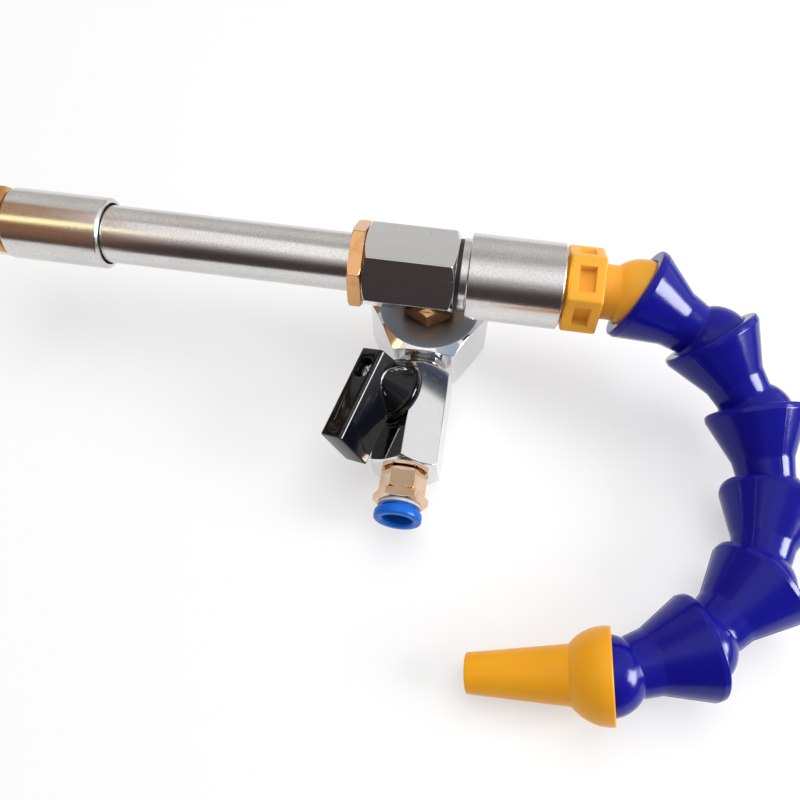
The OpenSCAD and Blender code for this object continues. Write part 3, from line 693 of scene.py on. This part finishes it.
class VORTEX_OT_chamber(bpy.types.Operator):
    """Chamber body, tube nut, sealing ring and the generator inside"""

    bl_idname = "vortex.chamber"
    bl_label = "Chamber body"

    def execute(self, context):
        looks = context.scene.vortex_metal
        axis, edge = tube_place(), looks.edge / MM

        low, high = extent("chamber_body")
        across, bore, thread, thread_end = high[2] - low[2], 8.03, 9.23, low[0] + 7.03
        angle, wall = hexagon(0, across, looks)
        turned_piece("body_skin", axis, [
            (thread, low[0], 0), *hex_bar(wall, across, low[0], high[0], looks),
            (bore, high[0], 0), (bore, thread_end, 0), (thread, thread_end, 0),
        ], angle, "bright_plate", "unit", "bright_plate", "chamber_body")

        start, end = extent("tube_nut")[0][0], extent("tube_nut")[1][0]
        across, lean, face, screw = 21, 30 - 5.6, 1.08, thread - SEAT_GAP
        angle, wall = hexagon(lean, across, looks)
        turned_piece("nut_skin", axis, [
            (bore, start, edge), *hex_bar(wall, across, start, low[0], looks, face),
            (screw, low[0], 0), (screw, end, edge), (bore, end, 0),
        ], angle, "turned_brass", "unit", "turned_brass", "tube_nut")

        dress("seal_rubber", "joint_seal")
        dress("turned_brass", "vortex_generator")
        return {"FINISHED"}


class VORTEX_OT_cold_end(bpy.types.Operator):
    """Cold cylinder and the hose connector with its pockets"""

    bl_idname = "vortex.cold_end"
    bl_label = "Cold end"

    def execute(self, context):
        looks = context.scene.vortex_metal
        axis, edge = tube_place(), looks.edge / MM
        low, high = extent("cold_sleeve")
        r, start, end = (high[1] - low[1]) / 2, low[0], high[0]
        neck, shoulder = extent("joint_seal")[1][0], extent("joint_seal")[1][0] + 1.9
        bevel, throat, seat, thread = 0.3, 3.2, end - 9.5, 8.53
        screw_r, neck_r, cone_r, half_edge = 8, 10, 6, 0.5 * edge
        turned_piece("cold_skin", axis, [
            (throat, start, edge), (screw_r, start, edge), (screw_r, neck, 0), (neck_r, neck, edge),
            (neck_r, shoulder, edge), (r - bevel, shoulder, half_edge), (r, shoulder + bevel, edge),
            (r, end - bevel, edge), (r - bevel, end, half_edge), (thread, end, edge), (thread, seat, 0),
            (cone_r, seat, 0), (throat, shoulder, 0),
        ], round_columns(), "satin_steel", "unit", "satin_steel", "cold_sleeve")
        self.connector(axis, end)
        return {"FINISHED"}

    def connector(self, axis, face):
        """A hexagon whose flats sink by the pocket's depth, times a step across and a step along the flat."""
        across, first, power, screw_r = 20.8, 22.5, 48, 8.5
        end_ease, screw_ease, foot_ease, on_wall = 0.8, 0.2, 0.3, 1e-6
        deep, half_w, half_l, slope = 2.2, 3.4, 2.2, 0.14
        low, high = extent("hose_connector")
        # Columns stand at these distances from a flat's middle, and rows at these from the pocket's middle
        edge = np.array([0, 1.2, 2.4, 3.0, 3.26, 3.4, 3.52, 3.9, 4.5, 5.1, 5.5, 5.75, 5.9])
        reach = [half_l + off for off in (0.5, 0.12, 0, -0.14, -0.4)] + [1]
        across_flat = np.concatenate([-edge[:0:-1], edge])
        turn = math.radians(first) + np.arange(6) * math.pi / 3
        angle = (turn[:, None] + np.arctan(across_flat / (across / 2))[None]).ravel()
        normal = np.repeat(turn, len(across_flat))
        lateral = np.tile(np.abs(across_flat), 6)
        wall = hex_radius(angle, first, across, power)
        start, end = face + 0.8, face + 10.3
        mid, ball = (start + end) / 2, high[0] - MOUTH_OUT
        sides = [(wall, mid + s, 0) for s in [-r for r in reach] + reach[::-1]]
        points = [
            (HOSE_BORE, low[0], screw_ease), (screw_r, low[0], screw_ease), (screw_r, start, 0),
            (wall, start, end_ease), *sides, (wall, end, end_ease), (HOSE_NECK, end, NECK_EASE),
            (HOSE_NECK, ball - NECK_BACK, foot_ease), *ball_rows(ball, count=26),
            (HOSE_BORE, high[0], MOUTH_EASE),
        ]
        rows = eased(*profile(points, len(angle)))
        grid = axis.turned(rows[..., 0], rows[..., 1], angle[None])
        along = np.abs(rows[..., 1] - mid)
        on_flat = np.abs(rows[..., 0] - wall[None]) < on_wall
        in_width = np.clip((half_w - lateral) / slope, 0, 1)
        in_length = np.clip((half_l - along) / slope, 0, 1)
        sunk = on_flat * in_width[None] * in_length
        ray = np.cos(normal)[:, None] * axis.up + np.sin(normal)[:, None] * axis.side
        grid = grid - deep * sunk[..., None] * ray[None]
        put_mesh("connector_skin", grid, "connector_plastic", "unit", "orange_plastic", "hose_connector")


class VORTEX_OT_hose(bpy.types.Operator):
    """Six jointed links"""

    bl_idname = "vortex.hose"
    bl_label = "Hose links"

    def execute(self, context):
        looks = context.scene.vortex_hose
        places = hose_places()
        rim, rim_foot, waist, neck, foot_ease = 12.95, 0, (7.9, 11.6), (HOSE_NECK, 15.925), 0.2
        ridge_start, ridge_floor = RIM_Z + 0.9, HOSE_NECK - 0.01
        near = np.radians([-1.6, -0.9, -0.5, -0.2, 0, 0.2, 0.5, 0.9, 1.6])
        clear, ridge_width = math.radians(2), math.radians(0.6)
        even = round_columns(132)
        for i, seam in enumerate(np.radians(SEAMS)):
            pitch = np.linalg.norm(places[i + 1].origin - places[i].origin)
            points = [
                (LIP_R + LIP_LAND, RIM_Z, LIP_EASE), (rim, RIM_Z, looks.rim_round / MM),
                (rim, rim_foot, LIP_EASE), (*waist, looks.waist_ease / MM), (*neck, NECK_EASE),
                (HOSE_NECK, pitch - NECK_BACK, foot_ease), *ball_rows(pitch, count=30),
                (HOSE_BORE, pitch + MOUTH_OUT, MOUTH_EASE),
                *arc(SOCKET_R, 0, math.pi - math.asin(HOSE_BORE / SOCKET_R), LIP_TURN, count=18),
            ]
            angle = np.sort(np.concatenate([
                even[from_seam(even, seam) > clear], (seam + near) % (2 * math.pi),
                (seam + math.pi + near) % (2 * math.pi),
            ]))
            rows = eased(*profile(points, len(angle)))
            skin = (rows[..., 1] > ridge_start) & (rows[..., 1] < neck[1]) & (rows[..., 0] > ridge_floor)
            proud = looks.ridge / MM * np.exp(-((from_seam(angle, seam) / ridge_width) ** 2))
            radius = np.minimum(rows[..., 0] + skin * proud[None], rim)
            grid = places[i].turned(radius, rows[..., 1], angle[None])
            put_mesh("link_skin_%d" % (i + 1), grid, "link_plastic", "link_%d" % (i + 1), "blue_plastic",
                     "hose_link_%d" % (i + 1))
        return {"FINISHED"}


class VORTEX_OT_nozzle(bpy.types.Operator):
    """Cup and tapered spout"""

    bl_idname = "vortex.nozzle"
    bl_label = "Nozzle"

    def execute(self, context):
        looks = context.scene.vortex_hose
        places = hose_places()
        length, cup, shift, spout, tip, outlet, straight = 33.4, 11.5, 0.6, 8.0, 4.9, 3.6, 25.4
        join_ease, tip_ease, outlet_ease, samples = 0.9, 0.35, 0.3, 4000
        z = np.linspace(0, cup - shift, samples)
        taper = spout + (tip - spout) * z / length
        join = z[np.argmax(taper > np.sqrt(cup**2 - (z + shift) ** 2))]
        inside = z[z < SOCKET_R]
        bore = HOSE_BORE + (outlet - HOSE_BORE) * inside / straight
        meet = inside[np.argmax(bore > np.sqrt(SOCKET_R**2 - inside**2))]
        points = [
            (LIP_R + LIP_LAND, RIM_Z, LIP_EASE), (cup, RIM_Z, looks.rim_round / MM),
            *arc(cup, -shift, math.pi / 2, math.pi - math.acos((join + shift) / cup), count=22, last=False),
            (spout + (tip - spout) * join / length, join, join_ease), (tip, length, tip_ease),
            (outlet, length, outlet_ease), (outlet, straight, 0),
            *arc(SOCKET_R, 0, math.pi - math.acos(meet / SOCKET_R), LIP_TURN, count=20),
        ]
        turned_piece("nozzle_skin", places[-1], points, round_columns(), "nozzle_plastic", "nozzle",
                     "amber_plastic", "nozzle")
        return {"FINISHED"}


class VORTEX_OT_inlet(bpy.types.Operator):
    """Elbow block, nipple and valve body"""

    bl_idname = "vortex.inlet"
    bl_label = "Inlet block and valve"

    def execute(self, context):
        looks = context.scene.vortex_metal
        edge = looks.edge / MM
        upright = Place((0, 0, 0), (0, 0, 1), (0, 1, 0))
        valve = valve_place()
        air, thread = 3.2, 4.63

        low, high = extent("elbow_block")
        across, thread_end, elbow, face = high[1] - low[1], high[2] - 6, valve.origin[2], 0.95
        angle, wall = hexagon(0, across, looks)
        turned_piece("block_skin", upright, [
            (0, low[2], 0), *hex_bar(wall, across, low[2], high[2], looks, face), (thread, high[2], 0),
            (thread, thread_end, 0), (air, thread_end, 0), (air, elbow, 0), (0, elbow, 0),
        ], angle, "block_plate", "unit", "bright_plate", "elbow_block", loop=False)

        base, top = extent("inlet_nipple")[0][2], extent("inlet_nipple")[1][2]
        across, start, end, screw = 13, high[2], extent("chamber_body")[0][2], thread - SEAT_GAP
        angle, wall = hexagon(30, across, looks)
        turned_piece("nipple_skin", upright, [
            (air, base, MOUTH_EASE), (screw, base, edge), (screw, start, 0),
            *hex_bar(wall, across, start, end, looks), (screw, end, 0), (screw, top, edge),
            (air, top, MOUTH_EASE),
        ], angle, "turned_brass", "unit", "turned_brass", "inlet_nipple")

        back, front = along_valve("valve_body", valve)
        across, first, screw_r, neck_r, neck, cavity = 18, 36.3, 5.6, 7, 3.6, (6.4, 8.2)
        angle, wall = hexagon(first, across, looks)
        turned_piece("valve_skin", valve, [
            (air, back, MOUTH_EASE), (screw_r, back, edge), (screw_r, 0, 0), (neck_r, 0, 0),
            (neck_r, neck, edge), *hex_bar(wall, across, neck, front, looks, face), (cavity[0], front, edge),
            (*cavity, 0), (air, cavity[1], 0),
        ], angle, "bright_plate", "unit", "bright_plate", "valve_body")

        dress("turned_brass", "valve_insert", "valve_stem")
        dress("seat_nylon", "seat_in", "seat_out")
        dress("bright_plate", "valve_ball")
        dress("seal_rubber", "stem_seal")
        return {"FINISHED"}


class VORTEX_OT_lever(bpy.types.Operator):
    """Lever with rounded edges and its screw"""

    bl_idname = "vortex.lever"
    bl_label = "Lever"

    def execute(self, context):
        looks = context.scene.vortex_valve
        same_point, flat, crease = 2 * MICRON, math.radians(0.5), math.radians(28)
        work = bmesh.new()
        work.from_mesh(frame["nodes"]["handle"].data)
        bmesh.ops.remove_doubles(work, verts=work.verts, dist=same_point)
        bmesh.ops.dissolve_limit(work, angle_limit=flat, verts=work.verts, edges=work.edges)
        mesh = bpy.data.meshes.new("lever_skin")
        work.to_mesh(mesh)
        work.free()
        mesh.polygons.foreach_set("use_smooth", np.ones(len(mesh.polygons), bool))
        piece = put_object("lever_skin", mesh, "lever_plastic", "lever", "black_plastic", "handle")
        bevel = piece.modifiers.new("edge", "BEVEL")
        bevel.width, bevel.segments = looks.lever_edge, 5
        bevel.limit_method, bevel.angle_limit = "ANGLE", crease
        bevel.harden_normals, bevel.use_clamp_overlap = True, False
        dress("bright_plate", "handle_screw")
        return {"FINISHED"}


class VORTEX_OT_push_in(bpy.types.Operator):
    """Push-in fitting with its collar"""

    bl_idname = "vortex.push_in"
    bl_label = "Push-in fitting"

    def execute(self, context):
        looks = context.scene.vortex_metal
        valve, edge = valve_place(), looks.edge / MM
        inner, outer = along_valve("push_in_body", valve)
        face, cap = along_valve("valve_body", valve)[1], outer - 3.0
        across, cap_across = 11, 13
        angle, small = hexagon(0, across, looks)
        wide = hexagon(0, cap_across, looks)[1]
        line, pocket, stop, air, screw_r = 4.05, 5.1, cap - 5, 3.2, 4.8
        turned_piece("fitting_skin", valve, [
            (air, inner, MOUTH_EASE), (screw_r, inner, edge), (screw_r, face, 0),
            *hex_bar(small, across, face, cap, looks), *hex_bar(wide, cap_across, cap, outer, looks),
            (pocket, outer, edge), (pocket, cap, 0), (line, cap, 0), (line, stop, 0), (air, stop, 0),
        ], angle, "fitting_brass", "unit", "turned_brass", "push_in_body")

        low, high = extent("release_collar")
        r, (inner, outer) = (high[0] - low[0]) / 2, along_valve("release_collar", valve)
        flange, sleeve, lead = outer - 2.6, 4.6, 0.55
        flange_ease, foot_ease, lead_ease = 0.8, 0.15, 0.2
        turned_piece("collar_skin", valve, [
            (line, inner, MOUTH_EASE), (sleeve, inner, MOUTH_EASE), (sleeve, flange, foot_ease),
            (r, flange, flange_ease), (r, outer, flange_ease), (line + lead, outer, lead_ease),
            (line, outer - lead, foot_ease),
        ], round_columns(120), "collar_plastic", "collar", "collar_plastic", "release_collar")

        dress("guide_plastic", "guide_ring")
        dress("seal_rubber", "tube_seal")
        dress("satin_steel", "grip_ring")
        return {"FINISHED"}


class VORTEX_OT_stage(bpy.types.Operator):
    """Floor, cards, lamps and camera"""

    bl_idname = "vortex.stage"
    bl_label = "Stage"

    def execute(self, context):
        looks = context.scene.vortex_stage
        self.floor(looks)
        for row in CARDS:
            self.card(*row)
        self.world(looks)
        self.lamp("window_lamp", (0.903, -0.079, 0.423), 0.75, 0.28, looks.window, (0.97, 0.985, 1.0))
        self.lamp("fill_lamp", (0.1, 0.25, 0.96), 0.9, 0.8, looks.fill, (1.0, 0.99, 0.98))
        self.camera(context, looks)
        context.scene.view_settings.view_transform = "Standard"
        return {"FINISHED"}

    def floor(self, looks):
        """A disc: radius times the ring's share to a power, so that the rings crowd under the unit."""
        crowding, below, middle = 1.5, 0.2 * MM, 1 * MICRON
        rim_start, rim_end, least_glow, rough, sheen = 0.45, 0.95, 0.54, 0.7, 0.1
        share_out = np.linspace(0, 1, looks.rings + 1)[1:] ** crowding
        angle = round_columns(96)
        radius = np.concatenate([[middle], share_out * looks.floor_radius])[:, None]
        grid = np.stack(np.broadcast_arrays(radius * np.cos(angle), radius * np.sin(angle), -below), -1)
        piece = self.sheet_mesh("studio_floor", grid, True)
        sheet, surface = self.blank("studio_floor", piece)
        shader = sheet.add("ShaderNodeBsdfPrincipled", {}, {
            "Base Color": (0.94, 0.94, 0.94, 1), "Roughness": rough, "Specular IOR Level": sheen,
        })
        glow = sheet.add("ShaderNodeEmission", {}, {"Color": (1, 1, 1, 1), "Strength": 1.0})
        out = sheet.add("ShaderNodeVectorMath", {"operation": "LENGTH"}, {0: sheet.spot()}, out="Value")
        plain = sheet.step(out, rim_start * looks.floor_radius, rim_end * looks.floor_radius, least_glow, 1.0)
        share_lit = sheet.seen_plainly() * plain
        sheet.join(sheet.add("ShaderNodeMixShader", {}, {0: share_lit, 1: shader, 2: glow}), surface)

    def card(self, name, radius, azimuth, stops, power, left_of):
        """A patch of a sphere that only mirrors see.

        Its light follows the stops, pairs of a height in degrees and a colour, in the sine of the height. Its
        sides fade out over the last degrees of its turn, and right of a share of the radius along X.
        """
        columns, rows, side_fade, left_fade = 65, 25, math.radians(5), 0.03
        middle, half = math.radians(sum(azimuth) / 2), math.radians((azimuth[1] - azimuth[0]) / 2)
        across = np.radians(np.linspace(*azimuth, columns))[None]
        up = np.radians(np.linspace(stops[0][0], stops[-1][0], rows))[:, None]
        grid = radius * np.stack(np.broadcast_arrays(np.cos(up) * np.cos(across), np.cos(up) * np.sin(across),
                                                     np.sin(up)), -1)
        piece = self.sheet_mesh(name, grid, False)
        sheet, surface = self.blank(name, piece)
        sines = [math.sin(math.radians(stop)) for stop, _ in stops]
        span = sines[-1] - sines[0]
        x = sheet.add("ShaderNodeSeparateXYZ", {}, {0: sheet.spot(turn=(0, 0, -middle))}, out="X")
        shades = [((sine - sines[0]) / span, shade) for sine, (_, shade) in zip(sines, stops)]
        height = (x.other("Z") / radius - sines[0]) / span
        light = sheet.add("ShaderNodeValToRGB", {"stops": shades}, {"Fac": height})
        off = abs(x.maths("ARCTAN2", x.other("Y"), x))
        left = sheet.add("ShaderNodeSeparateXYZ", {}, {0: sheet.spot()}, out="X") / radius
        mask = sheet.step(off, half - side_fade, half, 1.0, 0.0) * light.other("Alpha")
        mask = mask * sheet.step(left, left_of - left_fade, left_of, 1.0, 0.0)
        glow = sheet.add("ShaderNodeEmission", {}, {"Color": light, "Strength": power})
        clear = sheet.add("ShaderNodeBsdfTransparent")
        sheet.join(sheet.add("ShaderNodeMixShader", {}, {0: mask, 1: clear, 2: glow}), surface)
        piece.visible_camera = piece.visible_diffuse = piece.visible_shadow = False

    def blank(self, name, piece):
        """An empty material on a stage piece: its sheet, and the socket that its surface goes to."""
        material = bpy.data.materials.new(name)
        material.use_nodes = True
        nodes = material.node_tree.nodes
        nodes.remove(nodes["Principled BSDF"])
        piece.data.materials.append(material)
        return Sheet(material.node_tree), nodes["Material Output"].inputs["Surface"]

    def sheet_mesh(self, name, grid, loop):
        """An open skin from a grid of points in metres, closed round its columns or not."""
        rows, columns = grid.shape[:2]
        i, j = np.arange(rows - 1)[:, None], np.arange(columns if loop else columns - 1)[None]
        on = (j + 1) % columns
        faces = np.stack(np.broadcast_arrays(i * columns + j, (i + 1) * columns + j, (i + 1) * columns + on,
                                             i * columns + on), -1)
        mesh = bpy.data.meshes.new(name)
        mesh.from_pydata(grid.reshape(-1, 3).tolist(), [], faces.reshape(-1, 4).tolist())
        mesh.update()
        piece = bpy.data.objects.new(name, mesh)
        bpy.context.scene.collection.objects.link(piece)
        return piece

    def world(self, looks):
        """White to the eye and to mirrors, and an even grey light to everything else."""
        world = bpy.data.worlds.new("studio_light")
        world.use_nodes = True
        bpy.context.scene.world = world
        sheet = Sheet(world.node_tree)
        shade = sheet.blend(sheet.seen_plainly(), (looks.ambient,) * 3, (1, 1, 1))
        sheet.join(shade, world.node_tree.nodes["Background"].inputs["Color"])

    def lamp(self, name, direction, distance, side, power, shade):
        """A soft square that faces the unit's middle from a direction; mirrors see the cards instead."""
        data = bpy.data.lights.new(name, "AREA")
        data.shape, data.size, data.energy, data.color = "SQUARE", side, power, shade
        lamp = bpy.data.objects.new(name, data)
        bpy.context.scene.collection.objects.link(lamp)
        middle, out = np.array([0.02, -0.02, 0.03]), unit(direction)
        lamp.location = middle + distance * out
        across = unit(np.cross((0, 0, 1), out))
        self.face(lamp, across, np.cross(out, across), out)
        lamp.visible_glossy = False

    def camera(self, context, looks):
        """Level view turned by pitch, yaw and roll; the lens has no shift."""
        data = bpy.data.cameras.new("photo_camera")
        data.lens, data.sensor_width, data.clip_start = looks.lens, 36, 2 * MM
        camera = bpy.data.objects.new("photo_camera", data)
        context.scene.collection.objects.link(camera)
        p, y, r = looks.pitch, looks.yaw, looks.roll
        level, ahead = np.array([1, 0, 0]), np.array([0, math.cos(p), -math.sin(p)])
        down = np.array([0, -math.sin(p), -math.cos(p)])
        turned = math.cos(y) * level + math.sin(y) * ahead
        view = -math.sin(y) * level + math.cos(y) * ahead
        right = math.cos(r) * turned - math.sin(r) * down
        camera.location = looks.camera_at
        self.face(camera, right, -(math.sin(r) * turned + math.cos(r) * down), -view)
        context.scene.camera = camera

    def face(self, thing, x, y, z):
        """Turns an object so that its own axes lie along three square directions."""
        matrix = thing.matrix_world.to_3x3()
        for column, axis in enumerate((x, y, z)):
            matrix.col[column] = axis
        thing.rotation_euler = matrix.to_euler()


class VORTEX_PT_looks(bpy.types.Panel):
    """Lists the pieces, their sizes and their colours"""

    bl_idname = "VORTEX_PT_looks"
    bl_label = "Vortex tube"
    bl_space_type = "VIEW_3D"
    bl_region_type = "UI"
    bl_category = "Vortex tube"

    def draw(self, context):
        for operator in OPERATORS:
            self.layout.operator(operator.bl_idname)
        for key in GROUPS:
            group = getattr(context.scene, key)
            box = self.layout.box()
            for name in group.__annotations__:
                box.prop(group, name)


GROUPS = {"vortex_metal": MetalLooks, "vortex_hose": HoseLooks, "vortex_valve": ValveLooks,
          "vortex_stage": StageLooks}
OPERATORS = (VORTEX_OT_hot_end, VORTEX_OT_chamber, VORTEX_OT_cold_end, VORTEX_OT_hose, VORTEX_OT_nozzle,
             VORTEX_OT_inlet, VORTEX_OT_lever, VORTEX_OT_push_in, VORTEX_OT_stage)


def register():
    for group in (*GROUPS.values(), *OPERATORS, VORTEX_PT_looks):
        bpy.utils.register_class(group)
    for key, group in GROUPS.items():
        setattr(bpy.types.Scene, key, PointerProperty(type=group))


def unregister():
    for key in GROUPS:
        delattr(bpy.types.Scene, key)
    for group in reversed((*GROUPS.values(), *OPERATORS, VORTEX_PT_looks)):
        bpy.utils.unregister_class(group)


def main():
    """Builds every piece in order."""
    register()
    make_finishes(bpy.context)
    bpy.ops.vortex.hot_end()
    bpy.ops.vortex.chamber()
    bpy.ops.vortex.cold_end()
    bpy.ops.vortex.hose()
    bpy.ops.vortex.nozzle()
    bpy.ops.vortex.inlet()
    bpy.ops.vortex.lever()
    bpy.ops.vortex.push_in()
    bpy.ops.vortex.stage()


if __name__ == "__main__":
    main()
